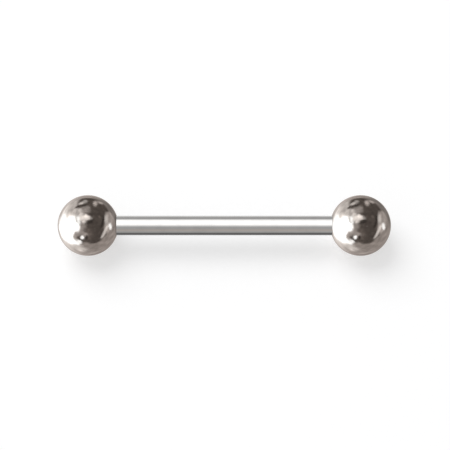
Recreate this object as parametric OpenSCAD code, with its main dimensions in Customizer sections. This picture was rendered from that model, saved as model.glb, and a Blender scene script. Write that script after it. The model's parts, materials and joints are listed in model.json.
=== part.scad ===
// Straight barbell for a body piercing, in polished surgical steel.
// A turned bar carries a threaded stud at each end, and a solid ball with a blind tapped hole
// screws onto each stud until its seat meets the bar's shoulder.
// The bar lies along X. Both balls rest on the plane z = 0, and the origin is under the bar's middle.

/* [Bar] */
// Diameter of the bar (14 gauge)
bar_d = 1.6; // [1.4:0.1:2.4]
// Length of the bar between its two shoulders
bar_length = 18; // [8:1:40]
// Bevel round the edge of each shoulder
shoulder_bevel = 0.05; // [0.02:0.01:0.1]

/* [Balls] */
// Diameter of each ball
ball_d = 5; // [4:0.5:8]
// Distance from a ball's centre to the seat that meets the shoulder, as a share of its radius
seat_share = 0.88; // [0.84:0.01:0.9]
// Depth of the tapped hole past the seat, beyond the end of the stud
hole_spare = 0.4; // [0.2:0.1:0.5]
// Bevel round the mouth of the tapped hole
hole_bevel = 0.06; // [0.02:0.01:0.1]

/* [Thread] */
// Outside diameter of the thread on each stud
thread_d = 1.2; // [1:0.1:1.2]
// Advance of the thread in one turn
thread_pitch = 0.25; // [0.2:0.01:0.3]
// Length of each stud from shoulder to tip
stud_length = 2; // [1.6:0.1:2.4]

/* [Clearances] */
// Radial gap round a stud in its hole, and round the bar in its seat
radial_gap = 0.02; // [0.01:0.01:0.04]
// Gap between a shoulder and the seat that it meets
seat_gap = 0.02; // [0.01:0.01:0.05]

/* [Hidden] */
$fn = 96;

bar_r = bar_d / 2;
ball_r = ball_d / 2;
thread_r = thread_d / 2;
// a metric thread's groove is 0.613 of its pitch deep, between flanks at 60 degrees
root_r = thread_r - 0.613 * thread_pitch;
neck_length = 1.2 * thread_pitch;
seat_from_centre = seat_share * ball_r;
ball_centre_x = bar_length / 2 + seat_gap + seat_from_centre;
hole_depth = stud_length - seat_gap + hole_spare;
bore_r = thread_r + radial_gap;
// half the angle of a drill's point is 59 degrees
drill_point = bore_r / tan(59);

// One pitch of the thread's V section: how far along the pitch each corner lies, and its radius.
// The root is flat for a sixth of the pitch and the crest for an eighth.
thread_section = [[0, root_r], [1 / 6, root_r], [25 / 48, thread_r], [31 / 48, thread_r]];
corners = len(thread_section);
// Flat sides in one turn of the thread
thread_sides = 16;
// The net that carries the thread starts two pitches early and ends one late, and is cut to the stud.
net_start = neck_length - 2 * thread_pitch;
net_rows = corners * (ceil((stud_length - net_start) / thread_pitch) + 1);
// How far the stud's foot reaches into the bar, so that both are one solid
foot_depth = 0.5;

// A point of the net, in the column at one angle and the row at one corner of the section. Each column
// is a step further along the helix than the last, and both ends of the thread are bevelled at 45 degrees.
function net_point(column, row) =
    let (
        corner = thread_section[row % corners],
        turns = floor(row / corners) + corner[0] + column / thread_sides,
        along = min(max(net_start + thread_pitch * turns, neck_length), stud_length),
        bevel = min(along - neck_length, stud_length - along),
        r = min(corner[1], root_r + bevel),
        angle = 360 * column / thread_sides
    )
    [r * cos(angle), r * sin(angle), along];

function foot_point(column) =
    let (angle = 360 * column / thread_sides)
    [root_r * cos(angle), root_r * sin(angle), -foot_depth];

// A point's place in the list. Past the last column the net closes on the first, one pitch on.
function net_index(column, row) =
    column < thread_sides
        ? column * (net_rows + 1) + row
        : row + corners;

// Threaded stud along +Z: a plain neck, then a right-hand thread to the tip.
module stud() {
    columns = [0:thread_sides - 1];
    foot = thread_sides * (net_rows + 1);
    net = [for (column = columns, row = [0:net_rows]) net_point(column, row)];
    sides = [
        for (column = columns)
            let (last_row = column < thread_sides - 1 ? net_rows - 1 : net_rows - 1 - corners)
            for (row = [0:last_row])
                let (
                    a = net_index(column, row),
                    b = net_index(column, row + 1),
                    c = net_index(column + 1, row + 1),
                    d = net_index(column + 1, row)
                )
                each [[a, b, c], [a, c, d]]
    ];
    neck = [
        for (column = columns)
            let (next = (column + 1) % thread_sides)
            [foot + column, net_index(column, 0), net_index(next, 0), foot + next]
    ];
    foot_face = [for (column = columns) foot + column];
    tip_face = [for (column = columns) net_index(thread_sides - 1 - column, net_rows)];
    polyhedron(
        concat(net, [for (column = columns) foot_point(column)]),
        concat(sides, neck, [foot_face, tip_face])
    );
}

// Plain shank along Z, centred, with both shoulders bevelled.
module shank() {
    straight = bar_length - 2 * shoulder_bevel;
    cylinder(r = bar_r, h = straight, center = true);
    for (end = [0, 180])
        rotate([end, 0, 0])
            translate([0, 0, straight / 2])
                cylinder(r1 = bar_r, r2 = bar_r - shoulder_bevel, h = shoulder_bevel);
}

// The bar is one turned piece: the shank and both studs. Each end is turned round, not mirrored,
// so both threads are right-handed.
module bar() {
    color("silver")
        translate([0, 0, ball_r])
            rotate([0, 90, 0]) {
                shank();
                for (end = [0, 180])
                    rotate([end, 0, 0])
                        translate([0, 0, bar_length / 2]) stud();
            }
}

// Blind hole along +Z from the seat, as it is bored: the bar's recess, the bevelled mouth, the bore
// and the drill's point.
module tapped_hole() {
    recess = ball_r - seat_from_centre;
    rotate_extrude()
        polygon([
            [0, -recess],
            [bar_r + radial_gap, -recess],
            [bar_r + radial_gap, 0],
            [bore_r + hole_bevel, 0],
            [bore_r, hole_bevel],
            [bore_r, hole_depth],
            [0, hole_depth + drill_point]
        ]);
}

// Solid ball with its tapped hole facing the bar. side is 1 for the right-hand end and -1 for the left.
module ball(side) {
    color("lightgray")
        translate([side * ball_centre_x, 0, ball_r])
            rotate([0, side * 90, 0])
                difference() {
                    sphere(r = ball_r);
                    translate([0, 0, -seat_from_centre]) tapped_hole();
                }
}

bar();
ball(-1);  // ball_left
ball(1);  // ball_right
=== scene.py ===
import json
import math

import bmesh
import bpy
import numpy as np
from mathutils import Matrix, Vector


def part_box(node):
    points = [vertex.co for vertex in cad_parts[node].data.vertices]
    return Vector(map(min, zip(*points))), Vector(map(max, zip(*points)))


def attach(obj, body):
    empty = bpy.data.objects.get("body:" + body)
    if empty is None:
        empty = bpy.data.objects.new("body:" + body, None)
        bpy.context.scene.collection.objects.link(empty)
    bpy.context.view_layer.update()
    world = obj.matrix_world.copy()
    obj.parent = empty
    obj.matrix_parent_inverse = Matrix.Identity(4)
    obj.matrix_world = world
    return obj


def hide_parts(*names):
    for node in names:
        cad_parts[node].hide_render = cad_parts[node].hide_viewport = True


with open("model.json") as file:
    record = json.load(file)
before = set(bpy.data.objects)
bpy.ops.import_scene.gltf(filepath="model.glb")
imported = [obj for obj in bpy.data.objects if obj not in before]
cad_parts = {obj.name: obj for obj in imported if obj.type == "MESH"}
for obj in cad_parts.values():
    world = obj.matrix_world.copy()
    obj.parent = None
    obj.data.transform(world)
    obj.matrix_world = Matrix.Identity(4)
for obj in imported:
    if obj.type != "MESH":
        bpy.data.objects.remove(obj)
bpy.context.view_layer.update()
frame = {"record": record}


# The bar
# It is turned from one rod of surgical steel: a plain shank, polished to a mirror, and at each
# end a neck and a stud with a right-hand thread, which are left as they come off the lathe.

MM = 0.001
wear_post = next(m for m in frame["record"]["mounts"] if m["name"] == "wear_post")
axis_height = wear_post["pos_m"][2]
shank_radius = wear_post["dims"]["r_mm"] * MM
shoulder_bevel = 0.05 * MM
shoulder_x = wear_post["dims"]["length_mm"] * MM / 2 + shoulder_bevel
shank_end_x = shoulder_x - shoulder_bevel
stud_tip_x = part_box("bar")[1].x

# The thread has metric proportions. A flank's length is measured along the bar, as the crest's is.
thread_radius = 0.6 * MM
thread_pitch = 0.25 * MM
thread_depth = 0.613 * thread_pitch
thread_crest = thread_pitch / 8
thread_flank = thread_pitch * 17 / 48
stud_root = thread_radius - thread_depth
neck_end_x = shoulder_x + 1.2 * thread_pitch
crest_from_x = neck_end_x + thread_depth
crest_to_x = stud_tip_x - thread_depth

sides = 128
shank_rows = 36
run_out_rows = 8
rows_per_pitch = 20
row_step = thread_pitch / rows_per_pitch
merge_distance = 1e-7
crease_angle = math.radians(25)
crease_free_radius = thread_radius + 0.05 * MM


class Wire:
    """A node's output. Sums are written on it as on a number, and each adds its Math node."""

    def __init__(self, nodes, socket):
        self.nodes = nodes
        self.socket = socket

    def __add__(self, other):
        return self.nodes.maths("ADD", self, other)

    def __radd__(self, other):
        return self.nodes.maths("ADD", other, self)

    def __sub__(self, other):
        return self.nodes.maths("SUBTRACT", self, other)

    def __rsub__(self, other):
        return self.nodes.maths("SUBTRACT", other, self)

    def __mul__(self, other):
        return self.nodes.maths("MULTIPLY", self, other)

    def __rmul__(self, other):
        return self.nodes.maths("MULTIPLY", other, self)

    def __truediv__(self, other):
        return self.nodes.maths("DIVIDE", self, other)

    def __abs__(self):
        return self.nodes.maths("ABSOLUTE", self)

    def held(self):
        """The value, kept between 0 and 1."""
        return self.nodes.maths("ADD", self, 0, use_clamp=True)


class Nodes:
    """A node tree that is being written, for a material, for the world or for geometry."""

    def __init__(self, tree):
        self.tree = tree

    def add(self, kind, inputs=None, output=0, **settings):
        """Adds a node with its settings, then the values or wires of its sockets."""
        node = self.tree.nodes.new(kind)
        for name, value in settings.items():
            setattr(node, name, value)
        for name, value in (inputs or {}).items():
            if isinstance(value, Wire):
                self.tree.links.new(value.socket, node.inputs[name])
            else:
                node.inputs[name].default_value = value
        return Wire(self, node.outputs[output]) if len(node.outputs) else node

    def maths(self, operation, *values, use_clamp=False):
        """One step of a sum."""
        values = dict(enumerate(values))
        return self.add("ShaderNodeMath", values, operation=operation, use_clamp=use_clamp)

    def split(self, vector, axes):
        """The parts of a vector along the named axes."""
        return [self.add("ShaderNodeSeparateXYZ", {"Vector": vector}, axis) for axis in axes]

    def mix_colours(self, share, first, second):
        """A colour between two, each a wire or three numbers. The node's colours are 6 and 7."""
        values = {0: share}
        for number, colour in ((6, first), (7, second)):
            values[number] = colour if isinstance(colour, Wire) else (*colour, 1)
        return self.add("ShaderNodeMix", values, 2, data_type="RGBA")

    def mix_shaders(self, share, first, second):
        """A shader between two."""
        return self.add("ShaderNodeMixShader", {0: share, 1: first, 2: second})


def empty_nodes(owner):
    """The emptied node tree of a material or of the world."""
    owner.use_nodes = True
    owner.node_tree.nodes.clear()
    return Nodes(owner.node_tree)


def add_object(name, data):
    """Puts a new object in the scene."""
    added = bpy.data.objects.new(name, data)
    bpy.context.scene.collection.objects.link(added)
    return added


TURNED_SIZES = {
    "Sides": "NodeSocketInt",
    "Axis Height": "NodeSocketFloat",
    "Thread From": "NodeSocketFloat",
    "Thread To": "NodeSocketFloat",
    "Thread Radius": "NodeSocketFloat",
    "Thread Depth": "NodeSocketFloat",
    "Crest": "NodeSocketFloat",
    "Flank": "NodeSocketFloat",
    "Pitch": "NodeSocketFloat",
    "Inside": "NodeSocketFloat",
    "Material": "NodeSocketMaterial",
}


def turned_tree():
    """Turns an outline, given as points of x and radius, round the bar's axis and cuts its thread.

    A grid has a row for each point of the outline and a column for each side. Between Thread From
    and Thread To, counted from the middle of the bar, the radius is cut down to the helix, or out
    to it where Inside is 1. One helix runs through the whole barbell, so studs and holes mesh.
    """
    tree = bpy.data.node_groups.new("turned_piece", "GeometryNodeTree")
    tree.interface.new_socket("Geometry", in_out="INPUT", socket_type="NodeSocketGeometry")
    for name, kind in TURNED_SIZES.items():
        tree.interface.new_socket(name, in_out="INPUT", socket_type=kind)
    tree.interface.new_socket("Geometry", in_out="OUTPUT", socket_type="NodeSocketGeometry")
    nodes = Nodes(tree)
    group = tree.nodes.new("NodeGroupInput")
    given = {socket.name: Wire(nodes, socket) for socket in group.outputs if socket.name}

    points = nodes.add("GeometryNodeAttributeDomainSize", {"Geometry": given["Geometry"]})
    per_row = given["Sides"] + 1
    grid = nodes.add("GeometryNodeMeshGrid", {"Vertices X": points, "Vertices Y": per_row})
    index = nodes.add("GeometryNodeInputIndex")
    row = nodes.maths("FLOOR", (index + 0.5) / per_row)
    turn = (index - row * per_row) / given["Sides"]

    position = nodes.add("GeometryNodeInputPosition")
    outline = nodes.add(
        "GeometryNodeSampleIndex",
        {"Geometry": given["Geometry"], "Value": position, "Index": row},
        data_type="FLOAT_VECTOR",
    )
    x, blank = nodes.split(outline, "XY")

    turns = x / given["Pitch"] - turn
    from_crest = abs(turns - nodes.maths("ROUND", turns)) * given["Pitch"]
    groove = ((from_crest - given["Crest"] / 2) / given["Flank"]).held()
    helix = given["Thread Radius"] - given["Thread Depth"] * groove
    outside_cut = nodes.maths("MINIMUM", blank, helix)
    inside_cut = nodes.maths("MAXIMUM", blank, helix)
    cut = outside_cut + given["Inside"] * (inside_cut - outside_cut)
    after_start = nodes.maths("GREATER_THAN", abs(x), given["Thread From"])
    before_end = nodes.maths("LESS_THAN", abs(x), given["Thread To"])
    radius = blank + after_start * before_end * (cut - blank)

    angle = turn * math.tau
    y = radius * nodes.maths("COSINE", angle)
    z = given["Axis Height"] + radius * nodes.maths("SINE", angle)
    place = nodes.add("ShaderNodeCombineXYZ", {"X": x, "Y": y, "Z": z})
    made = nodes.add("GeometryNodeSetPosition", {"Geometry": grid, "Position": place})
    made = nodes.add("GeometryNodeMergeByDistance", {"Geometry": made, "Distance": merge_distance})
    made = nodes.add("GeometryNodeSetShadeSmooth", {"Geometry": made})
    made = nodes.add("GeometryNodeRealizeInstances", {"Geometry": made})
    made = nodes.add("GeometryNodeSetMaterial", {"Geometry": made, "Material": given["Material"]})
    nodes.add("NodeGroupOutput", {"Geometry": made})
    return tree


turned_piece = turned_tree()


def turn(name, outline, material, thread_from, thread_to, thread_gap=0.0, inside=False):
    """Makes a turned piece from its outline, a list of (x, radius), as a plain closed mesh.

    With steel under the outline as it runs from right to left, the faces point outwards.
    """
    mesh = bpy.data.meshes.new(name + "_outline")
    mesh.from_pydata([(x, radius, 0) for x, radius in outline], [], [])
    piece = add_object(name, mesh)
    lathe = piece.modifiers.new("turned", "NODES")
    lathe.node_group = turned_piece
    values = {
        "Sides": sides,
        "Axis Height": axis_height,
        "Thread From": thread_from,
        "Thread To": thread_to,
        "Thread Radius": thread_radius + thread_gap,
        "Thread Depth": thread_depth,
        "Crest": thread_crest,
        "Flank": thread_flank,
        "Pitch": thread_pitch,
        "Inside": float(inside),
        "Material": material,
    }
    for socket in turned_piece.interface.items_tree:
        if socket.in_out == "INPUT" and socket.name in values:
            lathe[socket.identifier] = values[socket.name]
    finished = piece.evaluated_get(bpy.context.evaluated_depsgraph_get())
    baked = bpy.data.meshes.new_from_object(finished)
    piece.modifiers.remove(lathe)
    piece.data = baked
    baked.name = name
    baked.materials.pop(index=0)
    sharpen(baked)
    return piece


def sharpen(mesh):
    """Creases the corners that the lathe tool leaves, but not the steps along a thread."""
    mesh.set_sharp_from_angle(angle=crease_angle)
    sharp = mesh.attributes["sharp_edge"].data
    for edge in mesh.edges:
        if sharp[edge.index].value:
            x, y, z = mesh.vertices[edge.vertices[0]].co
            from_axis = math.hypot(y, z - axis_height)
            if from_axis < crease_free_radius and abs(x) > neck_end_x:
                sharp[edge.index].value = False


def line(start, end, steps=1):
    """Points of an outline from start towards end, in even steps. The end itself is left out."""
    return [
        (start[0] + (end[0] - start[0]) * i / steps, start[1] + (end[1] - start[1]) * i / steps)
        for i in range(steps)
    ]


def thread_rows(start, end, radius):
    """Points along a stretch that carries a thread, on rows shared by studs and holes."""
    first, last = round(start / row_step), round(end / row_step)
    return [(row * row_step, radius) for row in range(first, last)]


# The finish of the steel. Smears lie where their noise passes smear_from, and scratches run where
# theirs is near a half. Both darken the tint by a share, roughen the steel and go into its bump.
smear_from, smear_edge, smear_shade, smear_rough, smear_height = 0.45, 4, 0.6, 0.04, 0.01
scratch_edge, scratch_shade, scratch_rough, scratch_height = 28, 0.25, 0.06, 0.06
worn_tint = 0.88
wave_height = 0.5
bump_height = 0.004 * MM
polished_rough = 0.06
cut_rough = 0.28
cut_tint = (0.45, 0.44, 0.43)
# The dark tint that is mixed in as painted shade, deep in threads and holes and in the seam round the bar.
painted_shade_tint = (0.07, 0.068, 0.066)
cut_radius = thread_radius + 0.1 * MM
cut_from_x = shoulder_x - 0.001 * MM
cut_to_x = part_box("ball_right")[1].x - 0.5 * MM


def steel(name, tint, marks, marks_turn, ripple, shade):
    """Mirror-polished surgical steel, with fine marks, wiped smears, and bare cut metal in the threads.

    marks stretches the polishing marks along the piece, and marks_turn sets which way they run.
    ripple is how strong the soft ripples of the polish are. shade takes a point's distances from
    the middle of the bar and from its axis, and says how deep it lies in a thread, hole or seam;
    there the colour is darkened towards a dark tint, as painted shade.
    """
    material = bpy.data.materials.new(name)
    nodes = empty_nodes(material)
    place = nodes.add("ShaderNodeTexCoord", output="Object")
    to_millimetres = {"Vector": place, "Scale": 1 / MM}
    millimetres = nodes.add("ShaderNodeVectorMath", to_millimetres, operation="SCALE")

    def noise(scale, detail, turned=(0.0, 0.0, 0.0), stretch=(1.0, 1.0, 1.0)):
        mapping = {"Vector": millimetres, "Rotation": turned, "Scale": stretch}
        mapped = nodes.add("ShaderNodeMapping", mapping)
        grain = {"Vector": mapped, "Scale": scale, "Detail": detail, "Roughness": 0.6}
        return nodes.add("ShaderNodeTexNoise", grain)

    smear = noise(scale=0.9, detail=4.0, stretch=(1.0, 1.6, 1.0))
    smear = ((smear - smear_from) * smear_edge).held()
    scratch = None
    for turned in marks_turn:
        mark = noise(scale=1.0, detail=2.0, turned=turned, stretch=marks)
        mark = (1 - abs(mark - 0.5) * scratch_edge).held()
        scratch = mark if scratch is None else nodes.maths("MAXIMUM", scratch, mark)
    waves = noise(scale=0.55, detail=2.0)
    ripples = noise(scale=1.9, detail=2.0)

    x, y, z = nodes.split(place, "XYZ")
    off_axis = z - axis_height
    from_axis = nodes.maths("SQRT", y * y + off_axis * off_axis)
    near_axis = nodes.maths("LESS_THAN", from_axis, cut_radius)
    past_shoulder = nodes.maths("GREATER_THAN", abs(x), cut_from_x)
    before_end = nodes.maths("LESS_THAN", abs(x), cut_to_x)
    cut_metal = near_axis * past_shoulder * before_end

    worn = smear * smear_shade + scratch * scratch_shade
    colour = nodes.mix_colours(worn, tint, [worn_tint * channel for channel in tint])
    colour = nodes.mix_colours(cut_metal, colour, cut_tint)
    # Painted shade: the colour darkens deep in the threads and the hole, and in the seam round the bar.
    colour = nodes.mix_colours(shade(abs(x), from_axis), colour, painted_shade_tint)
    rough = polished_rough + smear * smear_rough + scratch * scratch_rough
    rough = rough + cut_metal * (cut_rough - rough)
    height = waves * wave_height + ripples * ripple
    height = height - scratch * scratch_height + smear * smear_height
    relief = {"Strength": 1.0, "Distance": bump_height, "Height": height}
    bump = nodes.add("ShaderNodeBump", relief)
    look = {"Base Color": colour, "Metallic": 1.0, "Roughness": rough, "Normal": bump}
    surface = nodes.add("ShaderNodeBsdfPrincipled", look)
    nodes.add("ShaderNodeOutputMaterial", {"Surface": surface})
    return material


tip_fade = 0.05 * MM


# Painted shade: the stud's colour darkens towards the roots of its thread and in its neck, fading out at
# the tip.
def thread_painted_shade(along, from_axis):
    """Painted shade in a stud: how deep a point lies in its thread or neck, from 0 at the crest to 1 at the
    root.
    """
    under_crest = ((thread_radius - from_axis) / thread_depth).held()
    return under_crest * ((stud_tip_x - along) / tip_fade).held()


bar_steel = steel(
    "bar_polished_steel",
    tint=(0.635, 0.625, 0.615),
    marks=(0.5, 26.0, 26.0),
    marks_turn=((0.0, 0.0, 0.0), (0.3, 0.02, 0.03)),
    ripple=0.0,
    shade=thread_painted_shade,
)
half_bar = (
    [(shank_end_x, shank_radius)]
    + [(shoulder_x, shank_radius - shoulder_bevel), (shoulder_x, stud_root)]
    + line((neck_end_x, stud_root), (crest_from_x, thread_radius), run_out_rows)
    + thread_rows(crest_from_x, crest_to_x, thread_radius)
    + line((crest_to_x, thread_radius), (stud_tip_x, stud_root), run_out_rows)
    + [(stud_tip_x, stud_root), (stud_tip_x, stud_root / 2), (stud_tip_x, 0.0)]
)
shank = line((shank_end_x, shank_radius), (-shank_end_x, shank_radius), shank_rows)[1:]
bar = turn(
    "bar_turned",
    half_bar[::-1] + shank + [(-x, radius) for x, radius in half_bar],
    bar_steel,
    thread_from=neck_end_x - row_step,
    thread_to=stud_tip_x + row_step,
)
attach(bar, "bar")
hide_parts("bar")
bar.visible_glossy = False


# The balls
# Each is a solid ball of the same steel, ground round and tumbled to a mirror. A blind hole is
# drilled and tapped in it, and a shallow recess at its mouth takes the shoulder of the bar.

ball_radius = axis_height
ball_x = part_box("ball_right")[1].x - ball_radius
ball_rings = 96
seat_x = ball_x - 0.88 * ball_radius
fit_gap = 0.02 * MM
recess_radius = shank_radius + fit_gap
recess_lip = 0.03 * MM
lip_radius = recess_radius + recess_lip
drill_radius = stud_root + fit_gap
drill_half_angle = math.radians(59)
drill_point = drill_radius / math.tan(drill_half_angle)
tapped_to_x = stud_tip_x + 0.25 * MM
hole_end_x = stud_tip_x + 0.4 * MM
mouth_radius = thread_radius + fit_gap + 0.06 * MM
mouth_depth = mouth_radius - drill_radius
mouth_rows = 12

lip_angle = math.pi - math.asin(lip_radius / ball_radius)
outside = []
for ring in range(ball_rings + 1):
    angle = lip_angle * ring / ball_rings
    outside.append((ball_x + ball_radius * math.cos(angle), ball_radius * math.sin(angle)))
lip_x = outside[-1][0]
hole = (
    [(lip_x + recess_lip, recess_radius), (seat_x, recess_radius)]
    + line((seat_x, mouth_radius), (seat_x + mouth_depth, drill_radius), mouth_rows)
    + thread_rows(seat_x + mouth_depth, tapped_to_x, drill_radius)
    + [(tapped_to_x, drill_radius), (hole_end_x, drill_radius), (hole_end_x + drill_point, 0.0)]
)
ball_outline = outside + hole

# Painted shade in a ball deepens over the first turns of the hole, and a lighter band of it lies in the
# seam round the bar.
hole_fade = 3 * thread_pitch
hole_fade_end_x = ball_x + ball_radius / 2
seam_width = 0.25 * MM
seam_shade = 0.6


def hole_and_seam_painted_shade(along, from_axis):
    """Painted shade in a ball: how deep a point lies in its hole, and a lighter band of it in the seam
    round the bar.
    """
    past_seat = ((along - seat_x) / hole_fade).held()
    under_lip = ((lip_radius - from_axis) / fit_gap).held()
    before_end = ((hole_fade_end_x - along) / MM).held()
    seam = ((lip_radius + seam_width - from_axis) / seam_width).held() * seam_shade
    before_seat = ((seat_x - along) / fit_gap).held()
    return past_seat * under_lip * before_end + seam * before_seat


ball_steel = steel(
    "ball_polished_steel",
    tint=(0.63, 0.61, 0.59),
    marks=(3.0, 30.0, 30.0),
    marks_turn=((0.4, 0.9, 0.2), (1.3, 0.2, 2.1), (2.2, 1.9, 0.7)),
    ripple=1.0,
    shade=hole_and_seam_painted_shade,
)
balls = []
for name, outline in (
    ("ball_left", [(-x, radius) for x, radius in reversed(ball_outline)]),
    ("ball_right", ball_outline),
):
    ball = turn(
        name + "_tapped",
        outline,
        ball_steel,
        thread_from=seat_x,
        thread_to=tapped_to_x,
        thread_gap=fit_gap,
        inside=True,
    )
    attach(ball, name)
    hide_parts(name)
    ball.visible_glossy = False
    balls.append(ball)


# The floor
# A sheet of plain white card. It is lit almost to pure white, with a faint soft shadow. The camera
# sees it washed out by a glow of its own, as an overexposed sheet is.

floor_half = 2.0
floor_z = -0.002 * MM
card_tint = (0.86, 0.86, 0.865, 1)
card_glow = 1.45
card_wash = 0.375

corners = [(-1, -1), (1, -1), (1, 1), (-1, 1)]
corners = [(x * floor_half, y * floor_half, floor_z) for x, y in corners]
floor_mesh = bpy.data.meshes.new("floor")
floor_mesh.from_pydata(corners, [], [(0, 1, 2, 3)])
floor = add_object("floor", floor_mesh)
floor.visible_glossy = False
card = bpy.data.materials.new("white_card")
nodes = empty_nodes(card)
lit = nodes.add("ShaderNodeBsdfDiffuse", {"Color": card_tint})
bright = nodes.add("ShaderNodeEmission", {"Color": (1, 1, 1, 1), "Strength": card_glow})
washed = nodes.mix_shaders(card_wash, lit, bright)
to_camera = nodes.add("ShaderNodeLightPath", output="Is Camera Ray")
seen = nodes.mix_shaders(to_camera, lit, washed)
nodes.add("ShaderNodeOutputMaterial", {"Surface": seen})
floor_mesh.materials.append(card)


# The studio
# The balls show the room: a wide window on the left, its wall, a dark room to the right with a lit
# bench, and the white table. Each row below is one soft-edged patch of a dome.

WHITE = (1.0, 1.0, 1.0)
WARM = (1.0, 0.93, 0.885)
ROOM = (1.0, 0.83, 0.74)
TABLE = (1.0, 0.89, 0.835)
room_light = 0.11
table_light = 0.29
table_edge, table_full = -1, -16

# Angles are in degrees. Azimuth 0 is behind the barbell, 90 to its right and 180 towards the camera.
# name, azimuth, height, half width, half height, lean, corner, softness, tint, light
PATCHES = [
    ("front of the room", 178, 28, 14, 26, 0, 2, 0.8, ROOM, 0.17),
    ("left of the table", -92, -52, 34, 21, 0, 2, 0.9, WARM, 1.00),
    ("front left of the table", -143, -44, 20, 17, 0, 2, 0.8, WARM, 0.95),
    ("near part of the table", -170, -73, 22, 10, 0, 2, 0.7, TABLE, 0.56),
    ("back left of the table", -16, -43, 20, 24, 0, 2, 0.7, TABLE, 0.62),
    ("wall on the left", -57, 10, 27, 46, 30, 4, 0.25, WARM, 0.78),
    ("wall by the window", -68, 6, 11, 30, 10, 2, 0.8, WARM, 1.25),
    ("wall, front left", -146, 44, 11, 26, 0, 2, 0.9, TABLE, 0.46),
    ("ceiling at the back", -12, 55, 14, 16, 0, 3, 0.35, TABLE, 0.37),
    ("ceiling by the window", -63, 64, 10, 9, 0, 2, 0.5, WARM, 1.05),
    ("bright end of the wall", -40, 49, 7, 9, 0, 2, 0.6, WARM, 0.92),
    ("shade under the shelf", 155, -9, 20, 8, 0, 2, 0.5, ROOM, 0.10),
    ("sill at the back", -38, -20, 16, 20, 0, 2, 0.5, WARM, 0.80),
    ("light on the sill", -47, -14, 9, 12, 0, 2, 0.6, WARM, 1.20),
    ("table under the window", -98, -16, 41, 28, -22, 3, 0.3, WHITE, 2.2),
    ("lit end of the table", -138, -16, 15, 12, 0, 4, 0.35, WHITE, 1.9),
    ("far edge of the table", 36, -27, 20, 20, 0, 3, 0.4, TABLE, 0.26),
    ("light under the lamp", -151, -10, 9, 7, 0, 3, 0.35, WHITE, 1.5),
    ("window", -106, 8, 33.5, 42, 0, 2.7, 0.18, WHITE, 2.8),
    ("top of the window", -98, 54, 15, 8, 0, 3, 0.3, WHITE, 1.6),
    ("rail of the window", -92, 47, 12, 2.5, 0, 3, 0.5, WARM, 0.75),
    ("ceiling", -96, 79, 9, 20, 0, 3, 0.3, WARM, 1.3),
    ("ceiling lamp at the back", -45, 78, 6, 6, 0, 2, 0.6, WARM, 1.45),
    ("ceiling lamp at the front", -134, 71, 7, 8, 0, 2, 0.6, WARM, 1.15),
    ("ceiling lamp on the right", 100, 77, 5, 5, 0, 2, 0.6, WARM, 0.45),
    ("beam", 155, 72, 14, 6, 0, 3, 0.4, ROOM, 0.06),
    ("dark shelf, left", -34, 27, 9, 5, 25, 2, 0.4, ROOM, 0.10),
    ("dark shelf, middle", -14, 35, 9, 5, 0, 2, 0.4, ROOM, 0.09),
    ("light thing, left", -17, 19, 9, 6.5, -20, 2, 0.4, WARM, 0.85),
    ("light thing, hook", -8, 15, 5, 10, 0, 2, 0.5, WARM, 0.50),
    ("light thing, middle", 18, 19, 5.5, 14, -12, 2, 0.5, TABLE, 0.66),
    ("light thing, low", 18, 2, 5, 6, 0, 2, 0.5, TABLE, 0.30),
    ("light thing, right", 24, 0, 5, 8, 0, 2, 0.4, TABLE, 0.58),
    ("bench", 84, 4, 28, 18, 0, 3, 0.25, TABLE, 0.55),
    ("end of the bench", 61, -5, 10, 14, 0, 2, 0.5, TABLE, 0.55),
    ("lit edge of the bench", 80, 17, 16, 8, 0, 2, 0.4, WARM, 0.80),
    ("lit tray", 89, -6, 7, 9, 0, 2, 0.5, WHITE, 1.8),
    ("lit edge, front", 118, 3, 19, 6, -25, 2, 0.4, WARM, 0.85),
    ("lit corner", 101, 6, 10, 4.5, 0, 2, 0.6, WARM, 1.05),
    ("dark gap over the bench", 92, 31, 26, 4, 0, 2, 0.5, ROOM, 0.05),
    ("lamp on the shelf", 75, 46, 5, 5, 0, 2, 0.6, ROOM, 0.20),
    ("curtain", -138, 8, 10, 18, 0, 3, 0.4, TABLE, 0.50),
    ("shelf over the lamp", -162, 26, 16, 7, 0, 3, 0.5, TABLE, 0.50),
    ("dark left of the lamp", -148, 5, 5.5, 7, 0, 2, 0.5, ROOM, 0.13),
    ("lamp", -160.5, 11, 5.5, 7, 0, 2.5, 0.4, WHITE, 1.9),
    ("dark right of the lamp", -176, 14, 3.5, 9, 0, 2, 0.4, ROOM, 0.04),
]

# Small things that fill the room, as random spots.
# strength, size, seed
ROOM_CLUTTER = [(0.09, 17, 42), (0.06, 9, 80)]


def way(azimuth, height):
    """The direction of an azimuth and a height in degrees, with the directions to its right and up."""
    turned, raised = math.radians(azimuth), math.radians(height)
    right = np.array((math.cos(turned), -math.sin(turned), 0.0))
    level = np.array((math.sin(turned), math.cos(turned), 0.0))
    ahead = level * math.cos(raised) + np.array((0.0, 0.0, math.sin(raised)))
    return ahead, right, np.cross(right, ahead)


def ramp(values, start, end):
    """Rises softly from 0 at start to 1 at end."""
    share = np.clip((values - start) / (end - start), 0, 1)
    return share * share * (3 - 2 * share)


def patch_share(directions, azimuth, height, half_width, half_height, lean, corner, softness):
    """How much of a patch lies in each direction, from 0 outside it to 1 inside."""
    ahead, right, up = (directions @ axis for axis in way(azimuth, height))
    away = np.degrees(np.arccos(np.clip(ahead, -1, 1))) / np.maximum(np.hypot(right, up), 1e-9)
    tilt = math.radians(lean)
    across = away * (right * math.cos(tilt) + up * math.sin(tilt)) / half_width
    rise = away * (up * math.cos(tilt) - right * math.sin(tilt)) / half_height
    out = (np.abs(across) ** corner + np.abs(rise) ** corner) ** (1 / corner)
    return ramp(out, 1 + softness, 1 - softness)


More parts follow.
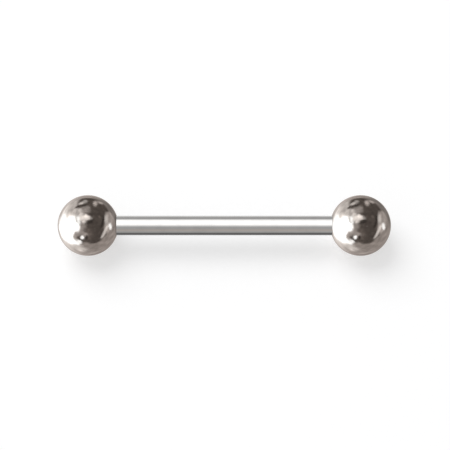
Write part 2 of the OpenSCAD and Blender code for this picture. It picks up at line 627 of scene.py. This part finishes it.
def clutter(directions, size, seed, waves=48):
    """A random field of soft light and dark spots, for the small things in the room. Size is in degrees."""
    draw = np.random.default_rng(seed)
    ways = draw.normal(size=(3, waves))
    ways *= 360 / size / np.linalg.norm(ways, axis=0)
    starts = draw.uniform(0, math.tau, waves)
    return np.cos(directions @ ways + starts).sum(1) * math.sqrt(2 / waves)


def cluttered(light, directions, fields):
    """The light, made uneven by fields of clutter."""
    spots = sum(strength * clutter(directions, size, seed) for strength, size, seed in fields)
    return light * np.exp(spots)[:, None]


def light_on_balls(directions):
    """The light that comes to the balls from each direction of the room, as linear colour."""
    height = np.degrees(np.arcsin(np.clip(directions[:, 2], -1, 1)))
    table = ramp(height, table_edge, table_full)[:, None]
    light = room_light * np.array(ROOM) + table * table_light * np.array(TABLE)
    for _, *shape, tint, strength in PATCHES:
        share = patch_share(directions, *shape)[:, None]
        light = light * (1 - share) + share * np.array(tint) * strength
    return cluttered(light, directions, ROOM_CLUTTER)


# The bar is too thin to show the room. It lies under a long strip light, between plain screens.
# Angles go round its axis, from the front over the top to the back. Softness is in degrees too.
# name, from, to, softness, tint, light
BANDS = [
    ("table below", -130, -62, 10, WHITE, 0.26),
    ("dark edge of the table", -66, -37, 9, WHITE, 0.16),
    ("front screen, lit part", -13, 18, 8, WARM, 0.57),
    ("strip light", 60, 131, 22, WHITE, 1.8),
    ("foot of the back screen", 182, 250, 8, WHITE, 0.85),
]
screen_light = 0.50
SCREEN_CLUTTER = [(0.05, 12, 3)]

# Angles under this one are counted on past the back, over 180.
band_seam = -130


def light_on_bar(directions):
    """The light that comes to the bar from each direction of its screens, as linear colour."""
    round_axis = np.degrees(np.arctan2(directions[:, 2], -directions[:, 1]))
    round_axis = np.where(round_axis < band_seam, round_axis + 360, round_axis)
    light = screen_light * np.ones_like(directions)
    for _, start, end, softness, tint, strength in BANDS:
        share = ramp(round_axis, start - softness, start + softness)
        share = (share * ramp(round_axis, end + softness, end - softness))[:, None]
        light = light * (1 - share) + share * np.array(tint) * strength
    return cluttered(light, directions, SCREEN_CLUTTER)


dome_detail = 7


def dome(name, radius, light_from, pieces):
    """A painted dome that glows, and is seen only in the steel of the pieces. It stops no ray."""
    mesh = bpy.data.meshes.new(name)
    globe = bmesh.new()
    bmesh.ops.create_icosphere(globe, subdivisions=dome_detail, radius=radius)
    globe.to_mesh(mesh)
    globe.free()
    points = np.empty(3 * len(mesh.vertices))
    mesh.vertices.foreach_get("co", points)
    light = light_from(points.reshape(-1, 3) / radius)
    painted = mesh.attributes.new("light", "FLOAT_COLOR", "POINT")
    painted.data.foreach_set("color", np.hstack([light, np.ones((len(light), 1))]).ravel())
    glow = bpy.data.materials.new(name)
    glow.cycles.emission_sampling = "NONE"
    nodes = empty_nodes(glow)
    colour = nodes.add("ShaderNodeAttribute", output="Color", attribute_name="light")
    shine = nodes.add("ShaderNodeEmission", {"Color": colour, "Strength": 1.0})
    clear = nodes.add("ShaderNodeBsdfTransparent")
    both = nodes.add("ShaderNodeAddShader", {0: shine, 1: clear})
    nodes.add("ShaderNodeOutputMaterial", {"Surface": both})
    mesh.materials.append(glow)
    shape = add_object(name, mesh)
    shape.visible_camera = False
    shape.visible_diffuse = False
    shape.visible_shadow = False
    receivers = bpy.data.collections.new(name + "_receivers")
    for piece in pieces:
        receivers.objects.link(piece)
    shape.light_linking.receiver_collection = receivers


dome("room_round_balls", 0.9, light_on_balls, balls)
dome("screens_round_bar", 1.0, light_on_bar, [bar])

# The world is white to the camera, dimmer to the card, and dark to the steel, which has its domes.
fill_light = 0.45
extra_to_camera = 0.6
world = bpy.data.worlds.new("studio")
bpy.context.scene.world = world
nodes = empty_nodes(world)
to_camera = nodes.add("ShaderNodeLightPath", output="Is Camera Ray")
to_steel = nodes.add("ShaderNodeLightPath", output="Is Glossy Ray")
strength = fill_light * (1 - to_steel) + to_camera * extra_to_camera
sky = nodes.add("ShaderNodeBackground", {"Color": (1, 1, 1, 1), "Strength": strength})
nodes.add("ShaderNodeOutputWorld", {"Surface": sky})


def put_facing(thing, place, back):
    """Puts a lamp or camera in its place, facing away from the direction back."""
    thing.location = place
    thing.rotation_mode = "QUATERNION"
    thing.rotation_quaternion = back.to_track_quat("Z", "Y")


# The key is a round soft box behind the barbell on the left. It lights the card alone, and
# key_light is its brightness, whatever its size.
key_azimuth, key_height = -45, 58
key_size, key_away, key_light = 1.0, 1.1, 2.85
key_data = bpy.data.lights.new("key", "AREA")
key_data.shape = "DISK"
key_data.size = key_size
key_data.energy = key_light * (math.pi * key_size / 2) ** 2
key = add_object("key", key_data)
to_key = Vector(way(key_azimuth, key_height)[0])
put_facing(key, to_key * key_away, to_key)
key.visible_camera = False
key.visible_glossy = False


# The camera
# It looks down on the barbell from in front, through a long lens. The photo's barbell lies a little
# to the left of its middle, and so does this one.

camera_height = math.radians(60)
lens = 300.0
sensor = 36.0
frame_width = 37.05 * MM
picture_size = 450
barbell_in_photo = (224.3, 225.5)

camera_data = bpy.data.cameras.new("camera")
camera_data.lens = lens
camera_data.sensor_width = sensor
camera_data.clip_start, camera_data.clip_end = 0.01, 5.0
camera = add_object("camera", camera_data)
back = Vector((0.0, -math.cos(camera_height), math.sin(camera_height)))
up = Vector((0.0, math.sin(camera_height), math.cos(camera_height)))
right = Vector((1.0, 0.0, 0.0))
pixel = frame_width / picture_size
aim = Vector((0.0, 0.0, axis_height))
aim += right * (picture_size / 2 - barbell_in_photo[0]) * pixel
aim += up * (barbell_in_photo[1] - picture_size / 2) * pixel
put_facing(camera, aim + back * (frame_width * lens / sensor), back)
bpy.context.scene.camera = camera
bpy.context.scene.view_settings.view_transform = "Standard"
